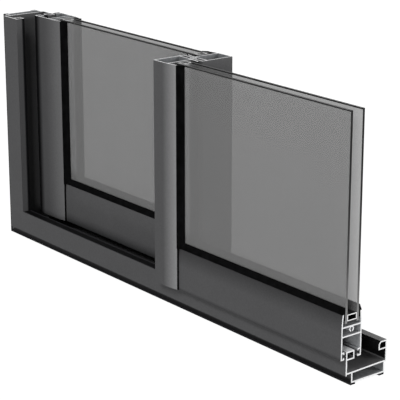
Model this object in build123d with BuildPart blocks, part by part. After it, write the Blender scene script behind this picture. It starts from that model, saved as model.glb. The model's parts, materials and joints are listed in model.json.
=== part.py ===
"""Cut corner sample of a two-track sliding aluminium window.

The sample is the lower left corner of the window, sawn square at the top and
at the right.  A sill and a jamb of one track profile meet at a mitre.  The rear
sash stands on the left, the front sash on the right, and their meeting stiles
hook into each other.  X runs along the sill, Y from front to back, Z up, and
the origin is on the ground in the middle of the sample.  Millimetres.
"""
import os

from build123d import *

os.makedirs("parts", exist_ok=True)

# The sawn sample
sample_length = 700.0
sample_height = 312.0

# Frame profile: base chamber, track floor and two hollow rails
frame_depth = 62.0
frame_wall = 1.8
sill_height = 41.0
jamb_width = 46.0
floor_height = 15.8
floor_rise = 1.0
drip_drop = 1.4
chamber_front_setback = 8.6
chamber_rear_setback = 2.6
track_rail_depth = 12.4
track_rail_height = 10.2
track_rail_wall = 1.6
track_rail_chamfer = 3.0
base_seal_height = 2.4
base_seal_width = 7.0
base_seal_inset = 0.8
cleat_reach = 70.0
cleat_clearance = 0.3

# Sash profiles
sash_wall = 1.6
rail_depth = 30.0
rail_height = 53.0
rail_overlap = 8.5
rail_bow = 1.2
rail_bow_height = 18.0
side_stile_width = 58.0
side_stile_overlap = 10.0
meeting_stile_width = 41.0
meeting_line = 391.0
meeting_overlap = 43.0
stile_bow = 2.6
stile_bow_width = 23.0
joint_clearance = 0.2
glass_pocket = 14.3
web_spacing = 10.8
screw_port_radius = 3.4
screw_port_bore = 2.0
screw_port_slot = 2.0
track_clearance = 2.8
brush_slot = 6.2
lip_thickness = 1.5
lip_nib = 1.3
notch_clearance = 1.5
hook_lip = 26.0
hook_gap = 2.0
hook_clearance = 1.8

# Glazing
pane_thickness = 3.0
glass_cavity = 14.0
setting_block_height = 3.5
setting_block_length = 70.0
spacer_height = 7.5
spacer_wall = 1.0
sealant_depth = 2.3
gasket_rise = 7.6
gasket_lip = 1.4
gasket_flap = 0.6
gasket_insert = 7.0
joint_seal_width = 1.5

# Brush seals and rollers
brush_height = 3.0
interlock_brush_width = 4.0
roller_top_clearance = 1.6
roller_width = 7.0
roller_clearance = 0.2
axle_radius = 2.0
axle_clearance = 0.2
carriage_length = 46.0
carriage_plate = 2.0
carriage_side_gap = 1.0
rear_left_roller_place = 150.0
rear_right_roller_place = 320.0
front_roller_place = 480.0
rear_left_block_place = 160.0
rear_right_block_place = 310.0
front_block_place = 520.0

# Places that follow from the sizes
left_face = -sample_length / 2
right_end = sample_length / 2
front_face = -frame_depth / 2
rear_face = frame_depth / 2
mitre_ratio = jamb_width / sill_height
rail_bottom = sill_height - rail_overlap
rail_top = rail_bottom + rail_height
upper_web_top = rail_top - glass_pocket
lower_web_top = upper_web_top - web_spacing
lower_web_bottom = lower_web_top - sash_wall
stile_depth = rail_depth + 2 * (stile_bow + sash_wall + joint_clearance)
stile_length = sample_height - rail_bottom
glass_thickness = 2 * pane_thickness + glass_cavity
glass_bottom = upper_web_top + setting_block_height
spacer_bottom = glass_bottom + sealant_depth
side_stile_left = left_face + jamb_width - side_stile_overlap
side_stile_edge = side_stile_left + side_stile_width
front_meeting_left = left_face + meeting_line - meeting_overlap / 2
front_meeting_edge = front_meeting_left + meeting_stile_width
rear_meeting_right = left_face + meeting_line + meeting_overlap / 2
rear_meeting_edge = rear_meeting_right - meeting_stile_width
rear_rail_left = side_stile_edge - glass_pocket
rear_rail_right = rear_meeting_edge + glass_pocket
front_rail_left = front_meeting_edge - glass_pocket
rear_glass_left = rear_rail_left + setting_block_height
rear_glass_right = rear_rail_right - setting_block_height
front_glass_left = front_rail_left + setting_block_height
chamber_front = front_face + chamber_front_setback
chamber_rear = rear_face - chamber_rear_setback
sash_offset = stile_depth / 2 + hook_clearance + sash_wall + hook_gap / 2
sash_shift = rear_face - track_rail_depth / 2 - sash_offset
brush_mouth = track_rail_depth + 2 * (abs(sash_shift) + track_clearance)
front_rail_y = -sash_offset
rear_rail_y = sash_offset


def bar(u0, v0, u1, v1, mode=Mode.ADD):
    """Upright rectangle between two corners, in the sketch at hand."""
    Polygon((u0, v0), (u1, v0), (u1, v1), (u0, v1), align=None, mode=mode)


def block(x0, x1, y0, y1, z0, z1, mode=Mode.ADD):
    """Square-edged block between two corners, in the part at hand."""
    with Locations(((x0 + x1) / 2, (y0 + y1) / 2, (z0 + z1) / 2)):
        Box(x1 - x0, y1 - y0, z1 - z0, mode=mode)


def along_sill(x, y):
    """Section plane across the sill: local x runs back, local y runs up."""
    return Plane(origin=(x, y, 0), x_dir=(0, 1, 0), z_dir=(1, 0, 0))


def down_from_top(x, y, facing):
    """Section plane at the sawn top: local y runs along X the way it faces."""
    return Plane(origin=(x, y, sample_height), x_dir=(0, facing, 0), z_dir=(0, 0, -1))


def frame_section(ratio):
    """Track profile; the ratio stretches its heights so that unequal legs meet on the mitre."""
    base = base_seal_height * ratio
    floor = floor_height * ratio
    rise = floor_rise * ratio
    wall = frame_wall * ratio
    head = sill_height * ratio
    head_foot = head - track_rail_height * ratio
    head_wall = track_rail_wall * ratio
    drip = floor - wall - drip_drop * ratio
    rear_rail = rear_face - track_rail_depth
    Polygon(
        (front_face, floor - wall),
        (chamber_front, floor - wall),
        (rear_rail, floor + rise - wall),
        (rear_face, floor + rise - wall),
        (rear_face, floor + rise),
        (rear_rail, floor + rise),
        (chamber_front, floor),
        (front_face, floor),
        align=None,
    )
    bar(chamber_front, base, chamber_rear, base + wall)
    bar(chamber_front, base, chamber_front + frame_wall, floor)
    bar(chamber_rear - frame_wall, base, chamber_rear, floor + rise)
    bar(front_face, drip, front_face + frame_wall, head)
    bar(rear_face - frame_wall, floor, rear_face, head)
    bar(front_face, head_foot, front_face + track_rail_depth, head)
    Polygon(
        (rear_rail, head_foot),
        (rear_face, head_foot),
        (rear_face, head),
        (rear_rail + track_rail_chamfer, head),
        (rear_rail, head - track_rail_chamfer * ratio),
        align=None,
    )
    bar(
        front_face + frame_wall,
        head_foot + head_wall,
        front_face + track_rail_depth - track_rail_wall,
        head - head_wall,
        mode=Mode.SUBTRACT,
    )
    Polygon(
        (rear_rail + track_rail_wall, head_foot + head_wall),
        (rear_face - frame_wall, head_foot + head_wall),
        (rear_face - frame_wall, head - head_wall),
        (rear_rail + track_rail_chamfer + track_rail_wall / 2, head - head_wall),
        (rear_rail + track_rail_wall, head - (track_rail_chamfer + track_rail_wall / 2) * ratio),
        align=None,
        mode=Mode.SUBTRACT,
    )


def brush_lips(half_depth, foot):
    """One of the two grooves that hold a pile seal at the open edge of a sash profile."""
    tip = -brush_mouth / 2
    upper = foot + lip_thickness + brush_slot
    bar(-half_depth, foot, tip, foot + lip_thickness)
    bar(tip - lip_nib, foot, tip, foot + lip_thickness + lip_nib)
    bar(-half_depth, upper, tip, upper + lip_thickness)
    bar(tip - lip_nib, upper - lip_nib, tip, upper + lip_thickness)


# Profile of both bottom rails: heights are true heights, depth is from the sash middle
with BuildSketch() as rail_profile:
    with BuildLine():
        Polyline(
            (-rail_depth / 2 + sash_wall, rail_top - rail_bow_height),
            (-rail_depth / 2 + sash_wall, rail_bottom),
            (-rail_depth / 2, rail_bottom),
            (-rail_depth / 2, rail_top - rail_bow_height),
        )
        TangentArc(
            (-rail_depth / 2, rail_top - rail_bow_height),
            (-rail_depth / 2 + rail_bow, rail_top),
            tangent=(0, 1),
        )
        Line((-rail_depth / 2 + rail_bow, rail_top), (-rail_depth / 2 + rail_bow + sash_wall, rail_top))
        TangentArc(
            (-rail_depth / 2 + sash_wall, rail_top - rail_bow_height),
            (-rail_depth / 2 + rail_bow + sash_wall, rail_top),
            tangent=(0, 1),
        )
    make_face()
    brush_lips(rail_depth / 2, rail_bottom)
    mirror(about=Plane.YZ)
    bar(-rail_depth / 2 + sash_wall / 2, upper_web_top - sash_wall, rail_depth / 2 - sash_wall / 2, upper_web_top)
    bar(-rail_depth / 2 + sash_wall / 2, lower_web_bottom, rail_depth / 2 - sash_wall / 2, lower_web_top)
    with Locations((0, upper_web_top - sash_wall / 2 - screw_port_radius)):
        Circle(screw_port_radius)
        Circle(screw_port_bore, mode=Mode.SUBTRACT)
    bar(
        -screw_port_slot / 2,
        upper_web_top - sash_wall / 2 - 2 * screw_port_radius,
        screw_port_slot / 2,
        upper_web_top - sash_wall / 2 - screw_port_radius,
        mode=Mode.SUBTRACT,
    )

# Profile of the side stile: local y runs from the open jamb edge to the glass
with BuildSketch() as side_stile_profile:
    with BuildLine():
        Polyline(
            (-stile_depth / 2 + sash_wall, side_stile_width - stile_bow_width),
            (-stile_depth / 2 + sash_wall, 0),
            (-stile_depth / 2, 0),
            (-stile_depth / 2, side_stile_width - stile_bow_width),
        )
        TangentArc(
            (-stile_depth / 2, side_stile_width - stile_bow_width),
            (-stile_depth / 2 + stile_bow, side_stile_width),
            tangent=(0, 1),
        )
        Line(
            (-stile_depth / 2 + stile_bow, side_stile_width),
            (-stile_depth / 2 + stile_bow + sash_wall, side_stile_width),
        )
        TangentArc(
            (-stile_depth / 2 + sash_wall, side_stile_width - stile_bow_width),
            (-stile_depth / 2 + stile_bow + sash_wall, side_stile_width),
            tangent=(0, 1),
        )
    make_face()
    brush_lips(stile_depth / 2, 0)
    mirror(about=Plane.YZ)
    pocket_floor = side_stile_width - glass_pocket
    bar(-stile_depth / 2 + sash_wall / 2, pocket_floor - sash_wall, stile_depth / 2 - sash_wall / 2, pocket_floor)
    chamber_floor = pocket_floor - web_spacing
    bar(-stile_depth / 2 + sash_wall / 2, chamber_floor - sash_wall, stile_depth / 2 - sash_wall / 2, chamber_floor)

# Profile of both meeting stiles: the hook stands off the closed edge, towards the other sash
with BuildSketch() as meeting_stile_profile:
    with BuildLine():
        Polyline(
            (-stile_depth / 2 + sash_wall, meeting_stile_width - stile_bow_width),
            (-stile_depth / 2 + sash_wall, 0),
            (-stile_depth / 2, 0),
            (-stile_depth / 2, meeting_stile_width - stile_bow_width),
        )
        TangentArc(
            (-stile_depth / 2, meeting_stile_width - stile_bow_width),
            (-stile_depth / 2 + stile_bow, meeting_stile_width),
            tangent=(0, 1),
        )
        Line(
            (-stile_depth / 2 + stile_bow, meeting_stile_width),
            (-stile_depth / 2 + stile_bow + sash_wall, meeting_stile_width),
        )
        TangentArc(
            (-stile_depth / 2 + sash_wall, meeting_stile_width - stile_bow_width),
            (-stile_depth / 2 + stile_bow + sash_wall, meeting_stile_width),
            tangent=(0, 1),
        )
    make_face()
    mirror(about=Plane.YZ)
    pocket_floor = meeting_stile_width - glass_pocket
    bar(-stile_depth / 2 + sash_wall / 2, pocket_floor - sash_wall, stile_depth / 2 - sash_wall / 2, pocket_floor)
    hook_back = sash_offset + hook_gap / 2 + sash_wall
    bar(-stile_depth / 2, 0, hook_back, sash_wall)
    bar(hook_back - sash_wall, 0, hook_back, hook_lip)

with BuildSketch() as sill_profile:
    frame_section(1.0)

with BuildSketch() as jamb_profile:
    frame_section(mitre_ratio)

# Outer frame
mitre_reach = 1.2

with BuildPart() as sill:
    with BuildSketch(along_sill(left_face, 0)):
        add(sill_profile.sketch)
    extrude(amount=sample_length)
    with BuildSketch(Plane.XZ):
        Polygon(
            (left_face, 0),
            (left_face + mitre_reach * jamb_width, mitre_reach * sill_height),
            (left_face, mitre_reach * sill_height),
            align=None,
        )
    extrude(amount=frame_depth, both=True, mode=Mode.SUBTRACT)
sill.part.label = "sill"
export_step(sill.part, "parts/sill.step")

with BuildPart() as jamb:
    with BuildSketch(down_from_top(left_face, 0, 1)):
        add(jamb_profile.sketch)
    extrude(amount=sample_height)
    with BuildSketch(Plane.XZ):
        Polygon(
            (left_face, 0),
            (left_face + mitre_reach * jamb_width, mitre_reach * sill_height),
            (left_face + mitre_reach * jamb_width, 0),
            align=None,
        )
    extrude(amount=frame_depth, both=True, mode=Mode.SUBTRACT)
jamb.part.label = "jamb"
export_step(jamb.part, "parts/jamb.step")

cleat_low = base_seal_height + frame_wall
cleat_high = floor_height - frame_wall - cleat_clearance
with BuildPart() as corner_cleat:
    with BuildSketch(Plane.XZ):
        Polygon(
            (left_face + cleat_low * mitre_ratio, cleat_low),
            (left_face + cleat_reach, cleat_low),
            (left_face + cleat_reach, cleat_high),
            (left_face + cleat_high * mitre_ratio, cleat_high),
            (left_face + cleat_high * mitre_ratio, cleat_reach),
            (left_face + cleat_low * mitre_ratio, cleat_reach),
            align=None,
        )
    extrude(amount=frame_depth, both=True)
    cleat_front = chamber_front + frame_wall + cleat_clearance
    cleat_rear = chamber_rear - frame_wall - cleat_clearance
    with BuildSketch(Plane.XY):
        bar(left_face, cleat_front, left_face + 2 * cleat_reach, cleat_rear)
    extrude(amount=sample_height, mode=Mode.INTERSECT)
corner_cleat.part.label = "corner_cleat"
export_step(corner_cleat.part, "parts/corner_cleat.step")

seal_rows = (
    ("front", chamber_front - base_seal_inset),
    ("rear", chamber_rear - base_seal_inset - base_seal_width),
)
for row, seal_y in seal_rows:
    with BuildPart() as sill_seal:
        block(left_face, right_end, seal_y, seal_y + base_seal_width, 0, base_seal_height)
    sill_seal.part.label = f"sill_{row}_base_seal"
    export_step(sill_seal.part, f"parts/sill_{row}_base_seal.step")

    jamb_seal_width = base_seal_height * mitre_ratio
    with BuildPart() as jamb_seal:
        block(
            left_face,
            left_face + jamb_seal_width,
            seal_y,
            seal_y + base_seal_width,
            base_seal_height,
            sample_height,
        )
    jamb_seal.part.label = f"jamb_{row}_base_seal"
    export_step(jamb_seal.part, f"parts/jamb_{row}_base_seal.step")

# Stiles, notched at the foot where they straddle the frame's rail
notch_top = sill_height + notch_clearance

with BuildPart() as rear_sash_side_stile:
    with BuildSketch(down_from_top(side_stile_left, rear_rail_y, 1)):
        add(side_stile_profile.sketch)
    extrude(amount=stile_length)
    block(
        side_stile_left,
        side_stile_edge,
        rear_rail_y - brush_mouth / 2,
        rear_rail_y + brush_mouth / 2,
        rail_bottom,
        notch_top,
        mode=Mode.SUBTRACT,
    )
rear_sash_side_stile.part.label = "rear_sash_side_stile"
export_step(rear_sash_side_stile.part, "parts/rear_sash_side_stile.step")

with BuildPart() as rear_sash_meeting_stile:
    with BuildSketch(down_from_top(rear_meeting_right, rear_rail_y, -1)):
        add(meeting_stile_profile.sketch)
    extrude(amount=stile_length)
    block(
        rear_meeting_edge,
        rear_meeting_right,
        rear_rail_y - brush_mouth / 2,
        rear_rail_y + brush_mouth / 2,
        rail_bottom,
        notch_top,
        mode=Mode.SUBTRACT,
    )
rear_sash_meeting_stile.part.label = "rear_sash_meeting_stile"
export_step(rear_sash_meeting_stile.part, "parts/rear_sash_meeting_stile.step")

with BuildPart() as front_sash_meeting_stile:
    with BuildSketch(down_from_top(front_meeting_left, front_rail_y, 1)):
        add(meeting_stile_profile.sketch)
    extrude(amount=stile_length)
    block(
        front_meeting_left,
        front_meeting_edge,
        front_rail_y - brush_mouth / 2,
        front_rail_y + brush_mouth / 2,
        rail_bottom,
        notch_top,
        mode=Mode.SUBTRACT,
    )
front_sash_meeting_stile.part.label = "front_sash_meeting_stile"
export_step(front_sash_meeting_stile.part, "parts/front_sash_meeting_stile.step")

# Bottom rails, let into the glass pockets of their stiles
with BuildPart() as rear_sash_bottom_rail:
    with BuildSketch(along_sill(rear_rail_left, rear_rail_y)):
        add(rail_profile.sketch)
    extrude(amount=rear_rail_right - rear_rail_left)
rear_sash_bottom_rail.part.label = "rear_sash_bottom_rail"
export_step(rear_sash_bottom_rail.part, "parts/rear_sash_bottom_rail.step")

with BuildPart() as front_sash_bottom_rail:
    with BuildSketch(along_sill(front_rail_left, front_rail_y)):
        add(rail_profile.sketch)
    extrude(amount=right_end - front_rail_left)
front_sash_bottom_rail.part.label = "front_sash_bottom_rail"
export_step(front_sash_bottom_rail.part, "parts/front_sash_bottom_rail.step")

# Insulating glass units: two panes on a hollow spacer, sealed round the edge
glass_units = (
    ("rear_sash", rear_rail_y, rear_glass_left, rear_glass_right, True),
    ("front_sash", front_rail_y, front_glass_left, right_end, False),
)
for sash, middle, glass_left, glass_right, closed_right in glass_units:
    outer_y = middle - glass_thickness / 2
    with BuildPart() as outer_pane:
        block(glass_left, glass_right, outer_y, outer_y + pane_thickness, glass_bottom, sample_height)
    outer_pane.part.label = f"{sash}_outer_pane"
    export_step(outer_pane.part, f"parts/{sash}_outer_pane.step")

    inner_y = middle + glass_thickness / 2
    with BuildPart() as inner_pane:
        block(glass_left, glass_right, inner_y - pane_thickness, inner_y, glass_bottom, sample_height)
    inner_pane.part.label = f"{sash}_inner_pane"
    export_step(inner_pane.part, f"parts/{sash}_inner_pane.step")

    gap_front = outer_y + pane_thickness
    gap_rear = inner_y - pane_thickness
    spacer_left = glass_left + sealant_depth
    spacer_right = glass_right - sealant_depth if closed_right else glass_right
    bore_right = spacer_right - spacer_wall if closed_right else spacer_right
    clear_right = spacer_right - spacer_height if closed_right else spacer_right
    hollow_right = clear_right + spacer_wall if closed_right else spacer_right
    with BuildPart() as spacer:
        block(spacer_left, spacer_right, gap_front, gap_rear, spacer_bottom, sample_height)
        block(
            spacer_left + spacer_height,
            clear_right,
            gap_front,
            gap_rear,
            spacer_bottom + spacer_height,
            sample_height,
            mode=Mode.SUBTRACT,
        )
        block(
            spacer_left + spacer_wall,
            bore_right,
            gap_front + spacer_wall,
            gap_rear - spacer_wall,
            spacer_bottom + spacer_wall,
            spacer_bottom + spacer_height - spacer_wall,
            mode=Mode.SUBTRACT,
        )
        block(
            spacer_left + spacer_wall,
            spacer_left + spacer_height - spacer_wall,
            gap_front + spacer_wall,
            gap_rear - spacer_wall,
            spacer_bottom + spacer_wall,
            sample_height,
            mode=Mode.SUBTRACT,
        )
        if closed_right:
            block(
                hollow_right,
                bore_right,
                gap_front + spacer_wall,
                gap_rear - spacer_wall,
                spacer_bottom + spacer_wall,
                sample_height,
                mode=Mode.SUBTRACT,
            )
    spacer.part.label = f"{sash}_glass_spacer"
    export_step(spacer.part, f"parts/{sash}_glass_spacer.step")

    with BuildPart() as edge_sealant:
        block(glass_left, glass_right, gap_front, gap_rear, glass_bottom, sample_height)
        block(spacer_left, spacer_right, gap_front, gap_rear, spacer_bottom, sample_height, mode=Mode.SUBTRACT)
    edge_sealant.part.label = f"{sash}_glass_edge_sealant"
    export_step(edge_sealant.part, f"parts/{sash}_glass_edge_sealant.step")

# Glazing gaskets: one continuous wedge on each face, with a strip down each stile joint
rail_tip_outer = rail_depth / 2 - rail_bow
rail_tip_inner = rail_tip_outer - sash_wall
stile_tip_outer = stile_depth / 2 - stile_bow
stile_tip_inner = stile_tip_outer - sash_wall
glass_face = glass_thickness / 2
stile_wedge = (
    (glass_face, -gasket_insert),
    (stile_tip_inner, -gasket_insert),
    (stile_tip_inner, 0),
    (stile_tip_outer + gasket_flap, 0),
    (stile_tip_outer + gasket_flap, gasket_flap),
    (glass_face + gasket_lip, gasket_rise),
    (glass_face, gasket_rise),
)
rail_wedge = (
    (glass_face, rail_top - gasket_insert),
    (rail_tip_inner, rail_top - gasket_insert),
    (rail_tip_inner, rail_top),
    (rail_tip_outer + gasket_flap, rail_top),
    (rail_tip_outer + gasket_flap, rail_top + gasket_flap),
    (glass_face + gasket_lip, rail_top + gasket_rise),
    (glass_face, rail_top + gasket_rise),
)
gasket_runs = (
    ("rear_sash", "outer", rear_rail_y, -1, side_stile_edge, rear_meeting_edge, True),
    ("rear_sash", "inner", rear_rail_y, 1, side_stile_edge, rear_meeting_edge, True),
    ("front_sash", "outer", front_rail_y, -1, front_meeting_edge, right_end, False),
    ("front_sash", "inner", front_rail_y, 1, front_meeting_edge, right_end, False),
)
for sash, face, middle, side, left_edge, right_edge, closed_right in gasket_runs:
    strip_ends = sorted((middle + side * rail_depth / 2, middle + side * stile_tip_outer))
    with BuildPart() as gasket:
        with BuildSketch(along_sill(left_edge, middle)):
            Polygon(*[(side * u, v) for u, v in rail_wedge], align=None)
        extrude(amount=right_edge - left_edge)
        with BuildSketch(down_from_top(left_edge, middle, 1)):
            Polygon(*[(side * u, v) for u, v in stile_wedge], align=None)
        extrude(amount=sample_height - rail_top)
        block(left_edge, left_edge + joint_seal_width, *strip_ends, rail_bottom, rail_top)
        if closed_right:
            with BuildSketch(down_from_top(right_edge, middle, -1)):
                Polygon(*[(-side * u, v) for u, v in stile_wedge], align=None)
            extrude(amount=sample_height - rail_top)
            block(right_edge - joint_seal_width, right_edge, *strip_ends, rail_bottom, rail_top)
    gasket.part.label = f"{sash}_{face}_gasket"
    export_step(gasket.part, f"parts/{sash}_{face}_gasket.step")

# Setting blocks carry the glass on the rail's upper web
block_places = (
    ("rear_sash_left_setting_block", rear_rail_y, rear_left_block_place),
    ("rear_sash_right_setting_block", rear_rail_y, rear_right_block_place),
    ("front_sash_setting_block", front_rail_y, front_block_place),
)
for name, middle, place in block_places:
    with BuildPart() as setting_block:
        block(
            left_face + place - setting_block_length / 2,
            left_face + place + setting_block_length / 2,
            middle - glass_thickness / 2,
            middle + glass_thickness / 2,
            upper_web_top,
            glass_bottom,
        )
    setting_block.part.label = name
    export_step(setting_block.part, f"parts/{name}.step")

# Pile seals between the rails and the frame's rails
front_track = (front_face, front_face + track_rail_depth)
rear_track = (rear_face - track_rail_depth, rear_face)
brush_low = rail_bottom + lip_thickness + brush_slot / 2 - brush_height / 2
rail_inner = rail_depth / 2 - sash_wall
brush_runs = (
    ("rear_sash_front_rail_brush", rear_rail_left, rear_rail_right, rear_rail_y - rail_inner, rear_track[0]),
    ("rear_sash_rear_rail_brush", rear_rail_left, rear_rail_right, rear_track[1], rear_rail_y + rail_inner),
    ("front_sash_front_rail_brush", front_rail_left, right_end, front_rail_y - rail_inner, front_track[0]),
    ("front_sash_rear_rail_brush", front_rail_left, right_end, front_track[1], front_rail_y + rail_inner),
)
for name, brush_left, brush_right, brush_front, brush_rear in brush_runs:
    with BuildPart() as rail_brush:
        block(brush_left, brush_right, brush_front, brush_rear, brush_low, brush_low + brush_height)
    rail_brush.part.label = name
    export_step(rail_brush.part, f"parts/{name}.step")

# Pile seals between the side stile and the jamb's rear rail
stile_inner = stile_depth / 2 - sash_wall
stile_brush_left = side_stile_left + lip_thickness + brush_slot / 2 - brush_height / 2
stile_brush_runs = (
    ("rear_sash_front_stile_brush", rear_rail_y - stile_inner, rear_track[0]),
    ("rear_sash_rear_stile_brush", rear_track[1], rear_rail_y + stile_inner),
)
for name, brush_front, brush_rear in stile_brush_runs:
    with BuildPart() as stile_brush:
        block(
            stile_brush_left,
            stile_brush_left + brush_height,
            brush_front,
            brush_rear,
            notch_top,
            sample_height,
        )
    stile_brush.part.label = name
    export_step(stile_brush.part, f"parts/{name}.step")

# Pile seals between the two hooks of the meeting stiles
interlock_places = (
    ("front_sash_interlock_brush", left_face + meeting_line - interlock_brush_width),
    ("rear_sash_interlock_brush", left_face + meeting_line),
)
for name, brush_left in interlock_places:
    with BuildPart() as interlock_brush:
        block(
            brush_left,
            brush_left + interlock_brush_width,
            -hook_gap / 2,
            hook_gap / 2,
            rail_bottom,
            sample_height,
        )
    interlock_brush.part.label = name
    export_step(interlock_brush.part, f"parts/{name}.step")

# Rollers in the rails: a carriage under the lower web and a wheel on the frame's rail
roller_space = lower_web_bottom - carriage_plate - roller_top_clearance - sill_height - roller_clearance
roller_radius = roller_space / 2
roller_z = sill_height + roller_clearance + roller_radius
cheek_inner = roller_width / 2 + carriage_side_gap
cheek_outer = cheek_inner + carriage_plate
cheek_half = roller_radius
roller_places = (
    ("rear_sash_left_roller", rear_track, rear_left_roller_place),
    ("rear_sash_right_roller", rear_track, rear_right_roller_place),
    ("front_sash_roller", front_track, front_roller_place),
)
for name, track, place in roller_places:
    wheel_x = left_face + place
    wheel_y = (track[0] + track[1]) / 2
    axle_plane = Plane(origin=(wheel_x, wheel_y, roller_z), x_dir=(1, 0, 0), z_dir=(0, 1, 0))
    with BuildPart() as carriage:
        block(
            wheel_x - carriage_length / 2,
            wheel_x + carriage_length / 2,
            wheel_y - cheek_outer,
            wheel_y + cheek_outer,
            lower_web_bottom - carriage_plate,
            lower_web_bottom,
        )
        for cheek in (-1, 1):
            cheek_faces = sorted((wheel_y + cheek * cheek_inner, wheel_y + cheek * cheek_outer))
            block(
                wheel_x - cheek_half,
                wheel_x + cheek_half,
                *cheek_faces,
                roller_z - 2 * axle_radius,
                lower_web_bottom,
            )
        with BuildSketch(axle_plane):
            Circle(axle_radius)
        extrude(amount=cheek_outer, both=True)
    carriage.part.label = f"{name}_carriage"
    export_step(carriage.part, f"parts/{name}_carriage.step")

    with BuildPart() as wheel:
        with BuildSketch(axle_plane):
            Circle(roller_radius)
            Circle(axle_radius + axle_clearance, mode=Mode.SUBTRACT)
        extrude(amount=roller_width / 2, both=True)
    wheel.part.label = f"{name}_wheel"
    export_step(wheel.part, f"parts/{name}_wheel.step")
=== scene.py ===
"""Looks of a cut corner sample of a two-track sliding aluminium window.

Anthracite powder-coated profiles, bare inside and where the sample was sawn, black
glazing gaskets and grey tinted double glazing, on a white studio floor.  Metres, in
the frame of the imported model: X along the sill, Y from front to back, Z up.
"""
import json
import math

import bpy
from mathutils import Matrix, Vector


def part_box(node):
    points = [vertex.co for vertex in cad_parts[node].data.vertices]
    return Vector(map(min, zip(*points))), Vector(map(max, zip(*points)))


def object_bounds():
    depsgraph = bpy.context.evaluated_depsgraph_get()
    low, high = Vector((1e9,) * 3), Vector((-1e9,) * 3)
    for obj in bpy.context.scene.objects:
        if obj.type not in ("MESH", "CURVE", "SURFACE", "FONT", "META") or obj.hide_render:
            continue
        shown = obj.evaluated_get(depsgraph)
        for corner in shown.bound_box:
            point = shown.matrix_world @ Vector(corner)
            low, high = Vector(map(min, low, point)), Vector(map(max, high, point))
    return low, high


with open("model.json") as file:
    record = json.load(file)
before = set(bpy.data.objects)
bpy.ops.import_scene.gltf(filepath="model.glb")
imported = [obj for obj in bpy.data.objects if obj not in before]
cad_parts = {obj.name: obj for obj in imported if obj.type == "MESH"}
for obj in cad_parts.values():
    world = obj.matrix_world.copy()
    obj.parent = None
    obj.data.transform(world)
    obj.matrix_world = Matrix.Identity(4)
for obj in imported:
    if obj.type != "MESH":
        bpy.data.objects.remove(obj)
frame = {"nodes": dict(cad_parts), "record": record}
cad_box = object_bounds()

# Places that the finishes share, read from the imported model
MM = 0.001
SAWN_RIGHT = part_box("sill")[1].x
SAWN_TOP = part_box("jamb")[1].z
SAWN_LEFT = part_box("sill")[0].x
TRACK_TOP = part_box("sill")[1].z
FRONT_SASH_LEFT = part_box("front_sash_meeting_stile")[0].x
REAR_SASH_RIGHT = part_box("rear_sash_meeting_stile")[1].x
GLASS_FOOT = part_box("front_sash_outer_pane")[0].z
BEYOND = Vector((1.0, 1.0, 1.0))

# Walls and hollows of the profiles, each with a little slack
SAW_SKIN = 0.15 * MM
RAIL_WALL = 1.4 * MM
STILE_WALL = 1.2 * MM
STILE_DEPTH = 38.8 * MM
GLASS_POCKET = 14.3 * MM
BASE_FRONT = 9.0 * MM
BASE_REAR = 3.2 * MM
BASE_LOW = 0.8 * MM
BASE_HIGH = 11.8 * MM
TROUGH_FLOOR = 16.2 * MM
TRACK_INSIDE = 18.5 * MM
TRACK_WALL_INSIDE = 29.3 * MM
BORE_INSIDE = 20.1 * MM
BORE_LOW = 32.3 * MM
BORE_HIGH = 39.5 * MM
SPACER_SKIN = 0.5 * MM
SPACER_BORE = 7.0 * MM
SPACER_HEIGHT = 7.5 * MM

# Reach of the painted shade on the profiles, and the length over which it fades
TRACK_EDGE_FRONT = -23.5 * MM
TRACK_EDGE_REAR = -15.0 * MM
TRACK_EDGE_FADE = 2.0 * MM
STILE_EDGE_SHADE = 13.0 * MM
STILE_EDGE_SHADE_FADE = 9.0 * MM
RAIL_TOP_SHADE = 22.0 * MM
RAIL_TOP_SHADE_FADE = 40.0 * MM
SILL_FOOT_SHADE = 8.0 * MM
SILL_FOOT_SHADE_FADE = 5.0 * MM
SHADOW_LINE_LOW = 26.5 * MM
SHADOW_LINE_HIGH = 35.5 * MM
SHADOW_LINE_REAR = -26.0 * MM
SHADOW_LINE_FADE = 9.0 * MM

# Small patterns
SLIT_PITCH = 6.0 * MM
SLIT_LENGTH = 2.0 * MM
SLIT_WIDTH = 1.0 * MM
ARRIS = 1.4 * MM
RING_PITCH = 1.2 * MM
RIB_PITCH = 4.0 * MM

# Mill finish inside the sash rails, painted darker as shade in the stiles and in the base of the frame
RAIL_MILL = ("#8a8c8e", "#a0a2a4")
STILE_MILL_SHADED = ("#6c6e70", "#828486")
FRAME_MILL_SHADED = ("#747678", "#8a8c8e")

# Painted light: the tones of painted shade and of painted highlight, then how far the painted shade at
# the feet of the rails and the painted highlight on the right margin of the stiles reach, each with the
# length of its fade
PAINTED_SHADE_TONES = ("#0a0a0b", "#171718")
PAINTED_HIGHLIGHT_TONES = ("#828283", "#8a8a8b")
RAIL_FOOT_SHADE = {
    "rear_sash_bottom_rail": (14.0 * MM, 25.0 * MM),
    "front_sash_bottom_rail": (4.0 * MM, 8.0 * MM),
}
PAINTED_HIGHLIGHT_MARGINS = {
    "front_sash_meeting_stile": (24.0 * MM, 24.0 * MM),
    "rear_sash_side_stile": (36.0 * MM, 110.0 * MM),
    "rear_sash_meeting_stile": (12.0 * MM, 110.0 * MM),
}


def linear(hex_colour):
    """Linear RGBA of an sRGB hex colour."""
    channels = [int(hex_colour[i : i + 2], 16) / 255 for i in (1, 3, 5)]
    return [c / 12.92 if c <= 0.04045 else ((c + 0.055) / 1.055) ** 2.4 for c in channels] + [1.0]


def per_mm(size):
    """Texture scale whose pattern repeats about once in that many millimetres."""
    return 1 / (size * MM)


def node(tree, kind, settings, inputs):
    """Adds a node; settings are its own properties, inputs are values or outputs to link from."""
    made = tree.nodes.new(kind)
    for name, value in settings.items():
        setattr(made, name, value)
    for name, value in inputs.items():
        if isinstance(value, bpy.types.NodeSocket):
            tree.links.new(value, made.inputs[name])
        else:
            made.inputs[name].default_value = value
    return made


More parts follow.
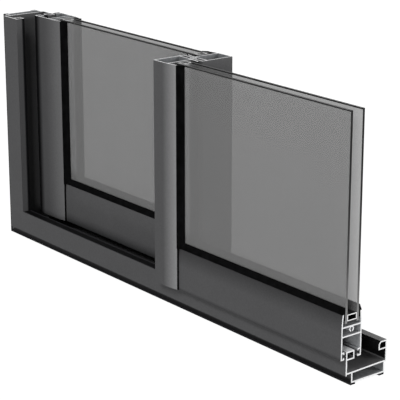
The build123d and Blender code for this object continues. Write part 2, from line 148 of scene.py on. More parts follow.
def new_finish(name):
    """A material, its emptied tree and the object's own coordinates in it."""
    material = bpy.data.materials.new(name)
    material.use_nodes = True
    tree = material.node_tree
    tree.nodes.clear()
    place = node(tree, "ShaderNodeTexCoord", {}, {}).outputs["Object"]
    return material, tree, place


def close_finish(tree, shader):
    """Links the finished shader to the material's output."""
    node(tree, "ShaderNodeOutputMaterial", {}, {"Surface": shader.outputs[0]})


def facing_mask(tree, place, axis, plane):
    """1 on the face that lies in a plane and looks along its axis."""
    spot = node(tree, "ShaderNodeSeparateXYZ", {}, {0: place})
    facing = node(tree, "ShaderNodeNewGeometry", {}, {}).outputs["True Normal"]
    facing = node(tree, "ShaderNodeSeparateXYZ", {}, {0: facing})
    near = node(
        tree,
        "ShaderNodeMath",
        {"operation": "COMPARE"},
        {0: spot.outputs[axis], 1: plane, 2: SAW_SKIN},
    )
    faces = node(
        tree, "ShaderNodeMath", {"operation": "GREATER_THAN"}, {0: facing.outputs[axis], 1: 0.9}
    )
    both = node(
        tree, "ShaderNodeMath", {"operation": "MULTIPLY"}, {0: near.outputs[0], 1: faces.outputs[0]}
    )
    return both.outputs[0]


def sawn_mask(tree, place):
    """1 on the faces that the saw made, at the right end and at the top."""
    end = facing_mask(tree, place, "X", SAWN_RIGHT)
    top = facing_mask(tree, place, "Z", SAWN_TOP)
    return node(tree, "ShaderNodeMath", {"operation": "MAXIMUM"}, {0: end, 1: top}).outputs[0]


def chamber_mask(tree, place, low, high, fade=0.0):
    """1 inside a box, such as on the walls of a hollow, with a soft margin where it fades."""
    middle = (low + high) / 2
    away = node(tree, "ShaderNodeVectorMath", {"operation": "SUBTRACT"}, {0: place, 1: middle})
    away = node(tree, "ShaderNodeVectorMath", {"operation": "ABSOLUTE"}, {0: away.outputs[0]})
    inside = node(
        tree, "ShaderNodeVectorMath", {"operation": "SUBTRACT"}, {0: high - middle, 1: away.outputs[0]}
    )
    sides = node(tree, "ShaderNodeSeparateXYZ", {}, {0: inside.outputs[0]})
    least = sides.outputs["X"]
    for side in "YZ":
        least = node(
            tree, "ShaderNodeMath", {"operation": "MINIMUM"}, {0: least, 1: sides.outputs[side]}
        ).outputs[0]
    if fade:
        return node(tree, "ShaderNodeMapRange", {}, {0: least, 2: fade}).outputs[0]
    return node(tree, "ShaderNodeMath", {"operation": "GREATER_THAN"}, {0: least, 1: 0.0}).outputs[0]


def powder_coated_aluminium(name, low, high, mill_dark, mill_light, painted_shade_boxes=(), painted_highlight_boxes=()):
    """Extruded aluminium, powder coated: low-gloss dark grey with a fine sprayed grain.

    The chamber between the two corners kept its dull mill finish, the saw left bright metal,
    and the top of the tracks is painted darker as shade, but rubbed bright where a sash rolls on it.
    Near-black painted shade lies in the shade boxes and a painted highlight lightens the highlight
    boxes, each given as two corners and the width of its fade.
    """
    material, tree, place = new_finish(name)
    sawn = sawn_mask(tree, place)
    track = facing_mask(tree, place, "Z", TRACK_TOP)
    front_run = chamber_mask(
        tree, place, Vector((FRONT_SASH_LEFT, -BEYOND.y, -BEYOND.z)), Vector((BEYOND.x, 0, BEYOND.z))
    )
    rear_run = chamber_mask(
        tree, place, Vector((-BEYOND.x, 0, -BEYOND.z)), Vector((REAR_SASH_RIGHT, BEYOND.y, BEYOND.z))
    )
    run = node(tree, "ShaderNodeMath", {"operation": "MAXIMUM"}, {0: front_run, 1: rear_run})
    rubbed = node(tree, "ShaderNodeMath", {"operation": "MULTIPLY"}, {0: track, 1: run.outputs[0]})
    hollow = chamber_mask(tree, place, low, high)
    # The sprayed grain is about 0.5 mm; it is drawn at 2 mm so that it shows
    grain = node(tree, "ShaderNodeTexNoise", {}, {"Vector": place, "Scale": per_mm(2.0), "Detail": 3.0})
    cloud = node(tree, "ShaderNodeTexNoise", {}, {"Vector": place, "Scale": per_mm(60.0), "Detail": 2.0})
    tone = node(
        tree,
        "ShaderNodeMath",
        {"operation": "MULTIPLY_ADD"},
        {0: cloud.outputs["Fac"], 1: 0.5, 2: grain.outputs["Fac"]},
    )
    coat = node(tree, "ShaderNodeValToRGB", {}, {"Fac": tone.outputs[0]})
    coat.color_ramp.elements[0].position = 0.45
    coat.color_ramp.elements[0].color = linear("#4d4d4e")
    coat.color_ramp.elements[1].position = 1.05
    coat.color_ramp.elements[1].color = linear("#545455")
    # Faint die marks of the press inside the chamber, and scores of the saw across the cut
    marks = node(tree, "ShaderNodeTexNoise", {}, {"Vector": place, "Scale": per_mm(4.0), "Detail": 3.0})
    mill = node(tree, "ShaderNodeValToRGB", {}, {"Fac": marks.outputs["Fac"]})
    mill.color_ramp.elements[0].position = 0.3
    mill.color_ramp.elements[0].color = linear(mill_dark)
    mill.color_ramp.elements[1].position = 0.7
    mill.color_ramp.elements[1].color = linear(mill_light)
    across = node(
        tree, "ShaderNodeVectorMath", {"operation": "MULTIPLY"}, {0: place, 1: (0.15, 1.0, 0.15)}
    )
    scores = node(
        tree, "ShaderNodeTexNoise", {}, {"Vector": across.outputs[0], "Scale": per_mm(1.2), "Detail": 2.0}
    )
    cut = node(tree, "ShaderNodeValToRGB", {}, {"Fac": scores.outputs["Fac"]})
    cut.color_ramp.elements[0].position = 0.3
    cut.color_ramp.elements[0].color = linear("#e0e1e2")
    cut.color_ramp.elements[1].position = 0.7
    cut.color_ramp.elements[1].color = linear("#fbfbfc")
    # Painted shade: the top faces of the tracks are darker than the coat
    colour = node(
        tree,
        "ShaderNodeMix",
        {"data_type": "RGBA"},
        {0: track, 6: coat.outputs["Color"], 7: linear("#38383a")},
    )
    # Painted shade and painted highlight, each box fading at its margin
    marked = [(*box, PAINTED_SHADE_TONES) for box in painted_shade_boxes] + [(*box, PAINTED_HIGHLIGHT_TONES) for box in painted_highlight_boxes]
    for mark_low, mark_high, fade, tones in marked:
        reach = chamber_mask(tree, place, mark_low, mark_high, fade)
        mark = node(tree, "ShaderNodeValToRGB", {}, {"Fac": grain.outputs["Fac"]})
        mark.color_ramp.elements[0].position = 0.3
        mark.color_ramp.elements[0].color = linear(tones[0])
        mark.color_ramp.elements[1].position = 0.7
        mark.color_ramp.elements[1].color = linear(tones[1])
        colour = node(
            tree,
            "ShaderNodeMix",
            {"data_type": "RGBA"},
            {0: reach, 6: colour.outputs[2], 7: mark.outputs["Color"]},
        )
    colour = node(
        tree,
        "ShaderNodeMix",
        {"data_type": "RGBA"},
        {0: hollow, 6: colour.outputs[2], 7: mill.outputs["Color"]},
    )
    colour = node(
        tree,
        "ShaderNodeMix",
        {"data_type": "RGBA"},
        {0: rubbed.outputs[0], 6: colour.outputs[2], 7: cut.outputs["Color"]},
    )
    colour = node(
        tree,
        "ShaderNodeMix",
        {"data_type": "RGBA"},
        {0: sawn, 6: colour.outputs[2], 7: cut.outputs["Color"]},
    )
    bare = node(tree, "ShaderNodeMath", {"operation": "MAXIMUM"}, {0: sawn, 1: hollow})
    bare = node(
        tree, "ShaderNodeMath", {"operation": "MAXIMUM"}, {0: bare.outputs[0], 1: rubbed.outputs[0]}
    )
    bare = node(tree, "ShaderNodeMath", {"operation": "MULTIPLY"}, {0: bare.outputs[0], 1: 0.2})
    roughness = node(tree, "ShaderNodeMapRange", {}, {0: hollow, 3: 0.36, 4: 0.5})
    roughness = node(tree, "ShaderNodeMapRange", {}, {0: sawn, 3: roughness.outputs[0], 4: 0.35})
    relief = node(
        tree,
        "ShaderNodeBump",
        {},
        {"Height": grain.outputs["Fac"], "Strength": 0.06, "Distance": 0.2 * MM},
    )
    shader = node(
        tree,
        "ShaderNodeBsdfPrincipled",
        {},
        {
            "Base Color": colour.outputs[2],
            "Metallic": bare.outputs[0],
            "Roughness": roughness.outputs[0],
            "Specular IOR Level": 0.03,
            "Normal": relief.outputs[0],
        },
    )
    close_finish(tree, shader)
    return material


def mill_finish_aluminium():
    """Aluminium as it left the press: dull silver with faint die lines along the bar."""
    material, tree, place = new_finish("mill_finish_aluminium")
    across = node(
        tree, "ShaderNodeVectorMath", {"operation": "MULTIPLY"}, {0: place, 1: (0.1, 1.0, 0.1)}
    )
    lines = node(
        tree, "ShaderNodeTexNoise", {}, {"Vector": across.outputs[0], "Scale": per_mm(2.0), "Detail": 3.0}
    )
    tint = node(tree, "ShaderNodeValToRGB", {}, {"Fac": lines.outputs["Fac"]})
    tint.color_ramp.elements[0].color = linear("#a0a2a4")
    tint.color_ramp.elements[1].color = linear("#c9cbcc")
    roughness = node(tree, "ShaderNodeMapRange", {}, {0: lines.outputs["Fac"], 3: 0.35, 4: 0.55})
    shader = node(
        tree,
        "ShaderNodeBsdfPrincipled",
        {},
        {"Base Color": tint.outputs["Color"], "Metallic": 1.0, "Roughness": roughness.outputs[0]},
    )
    close_finish(tree, shader)
    return material


def rolled_spacer_bar(name):
    """Bright rolled aluminium spacer bar: vent slits face the glass cavity, the bore is painted dark as
    shade.

    The top face of its foot is painted darker as shade.
    """
    material, tree, place = new_finish(f"rolled_aluminium_{name}")
    low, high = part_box(name)
    skin = Vector((SPACER_SKIN, SPACER_SKIN, SPACER_SKIN))
    inner_low, inner_high = low + skin, high - skin
    foot_bore = chamber_mask(
        tree,
        place,
        Vector((low.x - BEYOND.x, inner_low.y, inner_low.z)),
        Vector((high.x + BEYOND.x, inner_high.y, low.z + SPACER_BORE)),
    )
    left_bore = chamber_mask(
        tree,
        place,
        Vector((inner_low.x, inner_low.y, low.z)),
        Vector((low.x + SPACER_BORE, inner_high.y, high.z + BEYOND.z)),
    )
    right_bore = chamber_mask(
        tree,
        place,
        Vector((high.x - SPACER_BORE, inner_low.y, low.z + SPACER_BORE)),
        Vector((inner_high.x, inner_high.y, high.z + BEYOND.z)),
    )
    # Painted shade: the walls of the bore are near black
    bore = node(tree, "ShaderNodeMath", {"operation": "MAXIMUM"}, {0: foot_bore, 1: left_bore})
    bore = node(tree, "ShaderNodeMath", {"operation": "MAXIMUM"}, {0: bore.outputs[0], 1: right_bore})
    # Slits of 2 mm every 6 mm along the middle of the bar
    spot = node(tree, "ShaderNodeSeparateXYZ", {}, {0: place})
    along = node(
        tree, "ShaderNodeMath", {"operation": "ADD"}, {0: spot.outputs["X"], 1: spot.outputs["Z"]}
    )
    along = node(
        tree, "ShaderNodeMath", {"operation": "PINGPONG"}, {0: along.outputs[0], 1: SLIT_PITCH / 2}
    )
    short = node(
        tree, "ShaderNodeMath", {"operation": "LESS_THAN"}, {0: along.outputs[0], 1: SLIT_LENGTH / 2}
    )
    thin = node(
        tree,
        "ShaderNodeMath",
        {"operation": "COMPARE"},
        {0: spot.outputs["Y"], 1: (low.y + high.y) / 2, 2: SLIT_WIDTH / 2},
    )
    slit = node(
        tree, "ShaderNodeMath", {"operation": "MULTIPLY"}, {0: short.outputs[0], 1: thin.outputs[0]}
    )
    dark = node(
        tree, "ShaderNodeMath", {"operation": "MAXIMUM"}, {0: bore.outputs[0], 1: slit.outputs[0]}
    )
    brush = node(tree, "ShaderNodeTexNoise", {}, {"Vector": place, "Scale": per_mm(3.0), "Detail": 3.0})
    tint = node(tree, "ShaderNodeValToRGB", {}, {"Fac": brush.outputs["Fac"]})
    tint.color_ramp.elements[0].color = linear("#d2d3d4")
    tint.color_ramp.elements[1].color = linear("#eeeeef")
    # Painted shade: the top face of the foot is darker
    upper = facing_mask(tree, place, "Z", low.z + SPACER_HEIGHT)
    colour = node(
        tree,
        "ShaderNodeMix",
        {"data_type": "RGBA"},
        {0: upper, 6: tint.outputs["Color"], 7: linear("#3a3b3c")},
    )
    colour = node(
        tree,
        "ShaderNodeMix",
        {"data_type": "RGBA"},
        {0: dark.outputs[0], 6: colour.outputs[2], 7: linear("#0c0c0c")},
    )
    sawn = sawn_mask(tree, place)
    colour = node(
        tree,
        "ShaderNodeMix",
        {"data_type": "RGBA"},
        {0: sawn, 6: colour.outputs[2], 7: linear("#fafafa")},
    )
    dull = node(tree, "ShaderNodeMath", {"operation": "MAXIMUM"}, {0: dark.outputs[0], 1: sawn})
    metal = node(tree, "ShaderNodeMapRange", {}, {0: dull.outputs[0], 3: 0.9, 4: 0.1})
    shader = node(
        tree,
        "ShaderNodeBsdfPrincipled",
        {},
        {"Base Color": colour.outputs[2], "Metallic": metal.outputs[0], "Roughness": 0.25},
    )
    close_finish(tree, shader)
    return material


def zinc_plated_steel():
    """Pressed steel with bright zinc: cool grey in flat patches, each of its own tone."""
    material, tree, place = new_finish("zinc_plated_steel")
    spangle = node(tree, "ShaderNodeTexVoronoi", {}, {"Vector": place, "Scale": per_mm(5.0)})
    patch = node(tree, "ShaderNodeSeparateXYZ", {}, {0: spangle.outputs["Color"]})
    tint = node(tree, "ShaderNodeValToRGB", {}, {"Fac": patch.outputs["X"]})
    tint.color_ramp.elements[0].color = linear("#a6aab0")
    tint.color_ramp.elements[1].color = linear("#d3d7db")
    roughness = node(tree, "ShaderNodeMapRange", {}, {0: patch.outputs["Y"], 3: 0.28, 4: 0.45})
    shader = node(
        tree,
        "ShaderNodeBsdfPrincipled",
        {},
        {"Base Color": tint.outputs["Color"], "Metallic": 1.0, "Roughness": roughness.outputs[0]},
    )
    close_finish(tree, shader)
    return material


def turned_nylon(name):
    """Dark grey nylon wheel: satin, with the fine rings that turning leaves round the axle."""
    material, tree, place = new_finish(f"turned_nylon_{name}")
    low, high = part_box(name)
    out = node(tree, "ShaderNodeVectorMath", {"operation": "SUBTRACT"}, {0: place, 1: (low + high) / 2})
    out = node(
        tree, "ShaderNodeVectorMath", {"operation": "MULTIPLY"}, {0: out.outputs[0], 1: (1.0, 0.0, 1.0)}
    )
    radius = node(tree, "ShaderNodeVectorMath", {"operation": "LENGTH"}, {0: out.outputs[0]})
    rings = node(
        tree, "ShaderNodeMath", {"operation": "PINGPONG"}, {0: radius.outputs["Value"], 1: RING_PITCH / 2}
    )
    rings = node(tree, "ShaderNodeMapRange", {}, {0: rings.outputs[0], 2: RING_PITCH / 2})
    tint = node(tree, "ShaderNodeValToRGB", {}, {"Fac": rings.outputs[0]})
    tint.color_ramp.elements[0].color = linear("#333334")
    tint.color_ramp.elements[1].color = linear("#454546")
    relief = node(
        tree, "ShaderNodeBump", {}, {"Height": rings.outputs[0], "Strength": 0.2, "Distance": 0.1 * MM}
    )
    shader = node(
        tree,
        "ShaderNodeBsdfPrincipled",
        {},
        {"Base Color": tint.outputs["Color"], "Roughness": 0.4, "Normal": relief.outputs[0]},
    )
    close_finish(tree, shader)
    return material


def ribbed_plastic():
    """Black polypropylene setting block: matt, with ribs every 4 mm across its length."""
    material, tree, place = new_finish("ribbed_polypropylene")
    spot = node(tree, "ShaderNodeSeparateXYZ", {}, {0: place})
    ribs = node(
        tree, "ShaderNodeMath", {"operation": "PINGPONG"}, {0: spot.outputs["X"], 1: RIB_PITCH / 2}
    )
    ribs = node(tree, "ShaderNodeMapRange", {}, {0: ribs.outputs[0], 2: RIB_PITCH / 2})
    tint = node(tree, "ShaderNodeValToRGB", {}, {"Fac": ribs.outputs[0]})
    tint.color_ramp.elements[0].color = linear("#141415")
    tint.color_ramp.elements[1].color = linear("#2a2a2b")
    relief = node(
        tree, "ShaderNodeBump", {}, {"Height": ribs.outputs[0], "Strength": 0.5, "Distance": 0.6 * MM}
    )
    shader = node(
        tree,
        "ShaderNodeBsdfPrincipled",
        {},
        {"Base Color": tint.outputs["Color"], "Roughness": 0.6, "Normal": relief.outputs[0]},
    )
    close_finish(tree, shader)
    return material


def pile_fibres():
    """Dense black pile: tufts of fine fibres that stand across the gap, soft and without gloss."""
    material, tree, place = new_finish("pile_fibres")
    # Fibres of a tenth of a millimetre are drawn as strands of half a millimetre, so that they show
    along = node(tree, "ShaderNodeVectorMath", {"operation": "MULTIPLY"}, {0: place, 1: (1.0, 0.12, 1.0)})
    strands = node(
        tree, "ShaderNodeTexNoise", {}, {"Vector": along.outputs[0], "Scale": per_mm(0.5), "Detail": 2.0}
    )
    tint = node(tree, "ShaderNodeValToRGB", {}, {"Fac": strands.outputs["Fac"]})
    tint.color_ramp.elements[0].position = 0.3
    tint.color_ramp.elements[0].color = linear("#0a0a0b")
    tint.color_ramp.elements[1].position = 0.7
    tint.color_ramp.elements[1].color = linear("#323234")
    relief = node(
        tree,
        "ShaderNodeBump",
        {},
        {"Height": strands.outputs["Fac"], "Strength": 0.6, "Distance": 0.5 * MM},
    )
    shader = node(
        tree,
        "ShaderNodeBsdfPrincipled",
        {},
        {
            "Base Color": tint.outputs["Color"],
            "Roughness": 1.0,
            "Specular IOR Level": 0.05,
            "Sheen Weight": 0.15,
            "Normal": relief.outputs[0],
        },
    )
    close_finish(tree, shader)
    return material


def foam_rubber():
    """Black foam rubber under the base: matt, with open pores of about a millimetre."""
    material, tree, place = new_finish("foam_rubber")
    pores = node(tree, "ShaderNodeTexVoronoi", {}, {"Vector": place, "Scale": per_mm(1.5)})
    tint = node(tree, "ShaderNodeValToRGB", {}, {"Fac": pores.outputs["Distance"]})
    tint.color_ramp.elements[0].color = linear("#060607")
    tint.color_ramp.elements[1].position = 0.7
    tint.color_ramp.elements[1].color = linear("#202022")
    relief = node(
        tree,
        "ShaderNodeBump",
        {},
        {"Height": pores.outputs["Distance"], "Strength": 0.5, "Distance": 0.5 * MM},
    )
    shader = node(
        tree,
        "ShaderNodeBsdfPrincipled",
        {},
        {
            "Base Color": tint.outputs["Color"],
            "Roughness": 0.95,
            "Specular IOR Level": 0.1,
            "Normal": relief.outputs[0],
        },
    )
    close_finish(tree, shader)
    return material


def gunned_sealant():
    """Black sealant gunned round the glass edge: dull, with the slow waves that tooling leaves."""
    material, tree, place = new_finish("gunned_edge_sealant")
    waves = node(
        tree,
        "ShaderNodeTexNoise",
        {},
        {"Vector": place, "Scale": per_mm(7.0), "Detail": 2.0, "Distortion": 1.0},
    )
    tint = node(tree, "ShaderNodeValToRGB", {}, {"Fac": waves.outputs["Fac"]})
    tint.color_ramp.elements[0].color = linear("#121213")
    tint.color_ramp.elements[1].color = linear("#272729")
    relief = node(
        tree,
        "ShaderNodeBump",
        {},
        {"Height": waves.outputs["Fac"], "Strength": 0.4, "Distance": 0.6 * MM},
    )
    shader = node(
        tree,
        "ShaderNodeBsdfPrincipled",
        {},
        {
            "Base Color": tint.outputs["Color"],
            "Roughness": 0.55,
            "Specular IOR Level": 0.3,
            "Normal": relief.outputs[0],
        },
    )
    close_finish(tree, shader)
    return material


def grey_float_glass():
    """Grey tinted float glass: smooth, half see-through faces and ground edges.

    Looked into along the sheet, the edges are nearly black, and so is the ground arris at the
    top.  The edges grow paler towards the foot, where light gets in.
    """
    material, tree, place = new_finish("grey_tinted_float_glass")
    facing = node(tree, "ShaderNodeNewGeometry", {}, {}).outputs["True Normal"]
    facing = node(tree, "ShaderNodeSeparateXYZ", {}, {0: facing})
    flat = node(tree, "ShaderNodeMath", {"operation": "ABSOLUTE"}, {0: facing.outputs["Y"]})
    edge = node(tree, "ShaderNodeMath", {"operation": "LESS_THAN"}, {0: flat.outputs[0], 1: 0.5})
    spot = node(tree, "ShaderNodeSeparateXYZ", {}, {0: place})
    arris = node(
        tree, "ShaderNodeMath", {"operation": "GREATER_THAN"}, {0: spot.outputs["Z"], 1: SAWN_TOP - ARRIS}
    )
    edge = node(
        tree, "ShaderNodeMath", {"operation": "MAXIMUM"}, {0: edge.outputs[0], 1: arris.outputs[0]}
    )
    # The tint drifts a little across the sheet
    drift = node(tree, "ShaderNodeTexNoise", {}, {"Vector": place, "Scale": per_mm(120.0), "Detail": 1.0})
    tint = node(tree, "ShaderNodeValToRGB", {}, {"Fac": drift.outputs["Fac"]})
    tint.color_ramp.elements[0].color = linear("#7f7f7f")
    tint.color_ramp.elements[1].color = linear("#838383")
    height = node(tree, "ShaderNodeMapRange", {}, {0: spot.outputs["Z"], 1: GLASS_FOOT, 2: SAWN_TOP})
    ground = node(tree, "ShaderNodeValToRGB", {}, {"Fac": height.outputs[0]})
    ground.color_ramp.elements[0].color = linear("#8e8e8e")
    ground.color_ramp.elements[1].color = linear("#040404")
    ground.color_ramp.elements.new(0.1).color = linear("#707070")
    ground.color_ramp.elements.new(0.3).color = linear("#3c3c3c")
    ground.color_ramp.elements.new(0.55).color = linear("#141414")
    colour = node(
        tree,
        "ShaderNodeMix",
        {"data_type": "RGBA"},
        {0: edge.outputs[0], 6: tint.outputs["Color"], 7: ground.outputs["Color"]},
    )
    roughness = node(tree, "ShaderNodeMapRange", {}, {0: edge.outputs[0], 3: 0.02, 4: 0.6})
    body = node(tree, "ShaderNodeMapRange", {}, {0: edge.outputs[0], 3: 0.504, 4: 1.0})
    shader = node(
        tree,
        "ShaderNodeBsdfPrincipled",
        {},
        {
            "Base Color": colour.outputs[2],
            "Roughness": roughness.outputs[0],
            "IOR": 1.52,
            "Specular IOR Level": 0.15,
            "Alpha": body.outputs[0],
        },
    )
    close_finish(tree, shader)
    return material


def black_rubber():
    """Extruded gasket rubber: matt black with a faint dusty bloom."""
    material, tree, place = new_finish("extruded_gasket_rubber")
    bloom = node(tree, "ShaderNodeTexNoise", {}, {"Vector": place, "Scale": per_mm(9.0), "Detail": 4.0})
    tint = node(tree, "ShaderNodeValToRGB", {}, {"Fac": bloom.outputs["Fac"]})
    tint.color_ramp.elements[0].position = 0.35
    tint.color_ramp.elements[0].color = linear("#050505")
    tint.color_ramp.elements[1].position = 0.75
    tint.color_ramp.elements[1].color = linear("#0f0f10")
    relief = node(
        tree,
        "ShaderNodeBump",
        {},
        {"Height": bloom.outputs["Fac"], "Strength": 0.1, "Distance": 0.2 * MM},
    )
    shader = node(
        tree,
        "ShaderNodeBsdfPrincipled",
        {},
        {
            "Base Color": tint.outputs["Color"],
            "Roughness": 0.9,
            "Specular IOR Level": 0.02,
            "Normal": relief.outputs[0],
        },
    )
    close_finish(tree, shader)
    return material


def coated_profiles():
    """The coated finish of each profile, with the box of its own bare chamber."""
    finishes = {}
    for name, (foot_shade_height, foot_fade) in RAIL_FOOT_SHADE.items():
        low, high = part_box(name)
        # Painted shade darkens the foot of each rail
        painted_shade_boxes = [(-BEYOND, Vector((BEYOND.x, BEYOND.y, low.z + foot_shade_height)), foot_fade)]
        # Painted shade: the top of the front rail is darker
        if name == "front_sash_bottom_rail":
            shaded_top_corner = Vector((-BEYOND.x, -BEYOND.y, high.z - RAIL_TOP_SHADE))
            painted_shade_boxes.append((shaded_top_corner, BEYOND, RAIL_TOP_SHADE_FADE))
        low = Vector((low.x, low.y + RAIL_WALL, low.z)) - Vector((BEYOND.x, 0, BEYOND.z))
        high = Vector((high.x, high.y - RAIL_WALL, high.z)) + Vector((BEYOND.x, 0, BEYOND.z))
        finishes[name] = powder_coated_aluminium(f"powder_coated_{name}", low, high, *RAIL_MILL, painted_shade_boxes)
    for name, glass_side in (
        ("rear_sash_side_stile", 1),
        ("rear_sash_meeting_stile", -1),
        ("front_sash_meeting_stile", 1),
    ):
        low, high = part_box(name)
        left = STILE_WALL if glass_side > 0 else GLASS_POCKET
        right = GLASS_POCKET if glass_side > 0 else STILE_WALL
        front = low.y if name != "rear_sash_meeting_stile" else high.y - STILE_DEPTH
        # A painted highlight lightens the right margin of the stiles, most of all on the front meeting
        # stile
        margin, fade = PAINTED_HIGHLIGHT_MARGINS[name]
        painted_highlight_boxes = [(Vector((high.x - margin, -BEYOND.y, -BEYOND.z)), BEYOND, fade)]
        # Painted shade darkens the edge that slides into the jamb
        painted_shade_boxes = []
        if name == "rear_sash_side_stile":
            painted_shade_boxes = [(-BEYOND, Vector((low.x + STILE_EDGE_SHADE, BEYOND.y, BEYOND.z)), STILE_EDGE_SHADE_FADE)]
        low = Vector((low.x + left, front + STILE_WALL, low.z - BEYOND.z))
        high = Vector((high.x - right, front + STILE_DEPTH - STILE_WALL, high.z + BEYOND.z))
        finishes[name] = powder_coated_aluminium(
            f"powder_coated_{name}", low, high, *STILE_MILL_SHADED, painted_shade_boxes, painted_highlight_boxes
        )
    low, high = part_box("sill")
    front, rear = low.y + BASE_FRONT, high.y - BASE_REAR
    ratio = (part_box("jamb")[1].x - SAWN_LEFT) / TRACK_TOP
    # Boxes in the section of the frame: from front to rear, from foot to head, and the fade
    base = (front, rear, BASE_LOW, BASE_HIGH, 0.0)
    # The boxes after the base hold painted shade: the hollow between the tracks, the bore of the front
    # track, the inner edge of the jamb's front track and the foot of the sill
    trough_shade = (TRACK_INSIDE, TRACK_WALL_INSIDE, TROUGH_FLOOR, BORE_HIGH, 0.0)
    front_bore_shade = (-TRACK_WALL_INSIDE, -BORE_INSIDE, BORE_LOW, BORE_HIGH, 0.0)
    edge_head = TRACK_TOP + TRACK_EDGE_FADE
    track_edge_shade = (TRACK_EDGE_FRONT, TRACK_EDGE_REAR, BORE_LOW, edge_head, TRACK_EDGE_FADE)
    foot_of_sill_shade = (-BEYOND.y, BEYOND.y, -BEYOND.z, SILL_FOOT_SHADE, SILL_FOOT_SHADE_FADE)

    def in_sill(y0, y1, z0, z1, fade):
        """A box of the section, along the whole sill."""
        return Vector((-BEYOND.x, y0, low.z + z0)), Vector((BEYOND.x, y1, low.z + z1)), fade

    def in_jamb(y0, y1, z0, z1, fade):
        """A box of the section, up the whole jamb, where heights turn to widths."""
        return (
            Vector((SAWN_LEFT + z0 * ratio, y0, -BEYOND.z)),
            Vector((SAWN_LEFT + z1 * ratio, y1, BEYOND.z)),
            fade,
        )

    for name, placed, shade_places in (
        ("sill", in_sill, (trough_shade, front_bore_shade, foot_of_sill_shade)),
        ("jamb", in_jamb, (trough_shade, front_bore_shade, track_edge_shade)),
    ):
        chamber_low, chamber_high, _ = placed(*base)
        painted_shade_boxes = [placed(*box) for box in shade_places]
        # Painted shadow: a dark line on the sill under the front sash
        if name == "sill":
            painted_shade_boxes.append((
                Vector((FRONT_SASH_LEFT, -BEYOND.y, low.z + SHADOW_LINE_LOW)),
                Vector((BEYOND.x, SHADOW_LINE_REAR, low.z + SHADOW_LINE_HIGH)),
                SHADOW_LINE_FADE,
            ))
        finishes[name] = powder_coated_aluminium(
            f"powder_coated_{name}", chamber_low, chamber_high, *FRAME_MILL_SHADED, painted_shade_boxes
        )
    return finishes


WHEELS = ("rear_sash_left_roller_wheel", "rear_sash_right_roller_wheel", "front_sash_roller_wheel")
SPACERS = ("rear_sash_glass_spacer", "front_sash_glass_spacer")
OWN_FINISH = coated_profiles()
OWN_FINISH.update({name: turned_nylon(name) for name in WHEELS})
OWN_FINISH.update({name: rolled_spacer_bar(name) for name in SPACERS})
FINISHES = {
    "cleat_aluminium": mill_finish_aluminium(),
    "tinted_glass": grey_float_glass(),
    "edge_sealant": gunned_sealant(),
    "gasket_rubber": black_rubber(),
    "base_seal_rubber": foam_rubber(),
    "setting_block_plastic": ribbed_plastic(),
    "pile_brush": pile_fibres(),
    "carriage_steel": zinc_plated_steel(),
}

for subpart in frame["record"]["subparts"]:
    piece = frame["nodes"][subpart["node"]]
    finish = OWN_FINISH.get(subpart["node"]) or FINISHES[subpart["material_slot"]]
    piece.data.materials.clear()
    piece.data.materials.append(finish)


# Studio: a white floor that is seen as white and still takes a soft shadow
def seen_directly(tree):
    """1 where the camera sees a place, also through glass and in gloss."""
    path = node(tree, "ShaderNodeLightPath", {}, {})
    seen = path.outputs["Is Camera Ray"]
    for ray in ("Is Glossy Ray", "Is Transmission Ray"):
        seen = node(
            tree, "ShaderNodeMath", {"operation": "MAXIMUM"}, {0: seen, 1: path.outputs[ray]}
        ).outputs[0]
    return seen


FLOOR_HALF = 20.0
floor_mesh = bpy.data.meshes.new("studio_floor")
floor_corners = [(-FLOOR_HALF, -FLOOR_HALF, 0), (FLOOR_HALF, -FLOOR_HALF, 0)]
floor_corners += [(FLOOR_HALF, FLOOR_HALF, 0), (-FLOOR_HALF, FLOOR_HALF, 0)]
floor_mesh.from_pydata(floor_corners, [], [(0, 1, 2, 3)])
floor = bpy.data.objects.new("studio_floor", floor_mesh)
bpy.context.scene.collection.objects.link(floor)

floor_paint = bpy.data.materials.new("white_floor_paint")
floor_paint.use_nodes = True
floor_tree = floor_paint.node_tree
floor_tree.nodes.clear()
floor_bounce = node(floor_tree, "ShaderNodeBsdfDiffuse", {}, {"Color": linear("#a8a8a8")})
floor_shade = node(floor_tree, "ShaderNodeBsdfDiffuse", {}, {"Color": linear("#6a6a6a")})
floor_glow = node(floor_tree, "ShaderNodeEmission", {}, {"Color": linear("#ffffff"), "Strength": 0.95})
floor_shown = node(
    floor_tree, "ShaderNodeAddShader", {}, {0: floor_shade.outputs[0], 1: floor_glow.outputs[0]}
)
floor_mix = node(
    floor_tree,
    "ShaderNodeMixShader",
    {},
    {0: seen_directly(floor_tree), 1: floor_bounce.outputs[0], 2: floor_shown.outputs[0]},
)
close_finish(floor_tree, floor_mix)
floor_mesh.materials.append(floor_paint)

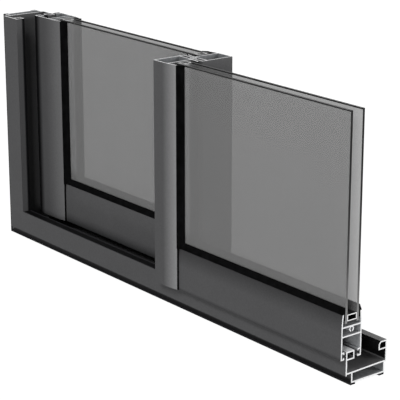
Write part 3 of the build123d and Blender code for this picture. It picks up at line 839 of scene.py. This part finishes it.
HORIZON_LIGHT = 0.38
ZENITH_LIGHT = 0.2
world = bpy.data.worlds.new("white_studio")
bpy.context.scene.world = world
world.use_nodes = True
world_tree = world.node_tree
world_tree.nodes.clear()
sky_way = node(world_tree, "ShaderNodeTexCoord", {}, {}).outputs["Generated"]
sky_way = node(world_tree, "ShaderNodeSeparateXYZ", {}, {0: sky_way})
ambient = node(
    world_tree, "ShaderNodeMapRange", {}, {0: sky_way.outputs["Z"], 3: HORIZON_LIGHT, 4: ZENITH_LIGHT}
)
world_light = node(
    world_tree, "ShaderNodeMapRange", {}, {0: seen_directly(world_tree), 3: ambient.outputs[0], 4: 1.0}
)
world_sky = node(
    world_tree,
    "ShaderNodeBackground",
    {},
    {"Color": linear("#ffffff"), "Strength": world_light.outputs[0]},
)
node(world_tree, "ShaderNodeOutputWorld", {}, {"Surface": world_sky.outputs[0]})

middle = (Vector(cad_box[0]) + Vector(cad_box[1])) / 2


def direction(azimuth, elevation):
    """Unit vector towards a place round the object; azimuth 0 is in front, 90 to the right."""
    a, e = math.radians(azimuth), math.radians(elevation)
    return Vector((math.sin(a) * math.cos(e), -math.cos(a) * math.cos(e), math.sin(e)))


# Soft boxes: name, azimuth, elevation, distance, width, height and power in watts
SOFT_BOXES = (
    ("key_soft_box", 22.0, 43.0, 5.0, 1.6, 1.3, 111.0),
    ("low_soft_box", 38.0, 8.0, 5.0, 1.6, 1.2, 99.0),
    ("right_soft_box", 125.0, 18.0, 5.0, 1.6, 1.2, 95.0),
    ("back_soft_box", 212.0, 22.0, 5.0, 1.6, 1.2, 90.0),
)
for name, azimuth, elevation, distance, width, height, power in SOFT_BOXES:
    lamp = bpy.data.lights.new(name, "AREA")
    lamp.shape = "RECTANGLE"
    lamp.size, lamp.size_y, lamp.energy = width, height, power
    lamp_object = bpy.data.objects.new(name, lamp)
    lamp_object.location = middle + distance * direction(azimuth, elevation)
    lamp_object.rotation_euler = direction(azimuth, elevation).to_track_quat("Z", "Y").to_euler()
    bpy.context.scene.collection.objects.link(lamp_object)

# Camera: from the front right, a little above
CAMERA_PLACE = (1.5305, -1.1676, 0.7112)
CAMERA_AZIMUTH = 51.659
CAMERA_ELEVATION = 16.940
camera_data = bpy.data.cameras.new("camera")
camera_data.sensor_width = 36.0
camera_data.lens = 145.14
camera = bpy.data.objects.new("camera", camera_data)
camera.location = CAMERA_PLACE
camera.rotation_euler = direction(CAMERA_AZIMUTH, CAMERA_ELEVATION).to_track_quat("Z", "Y").to_euler()
bpy.context.scene.collection.objects.link(camera)
bpy.context.scene.camera = camera

bpy.context.scene.view_settings.view_transform = "Standard"
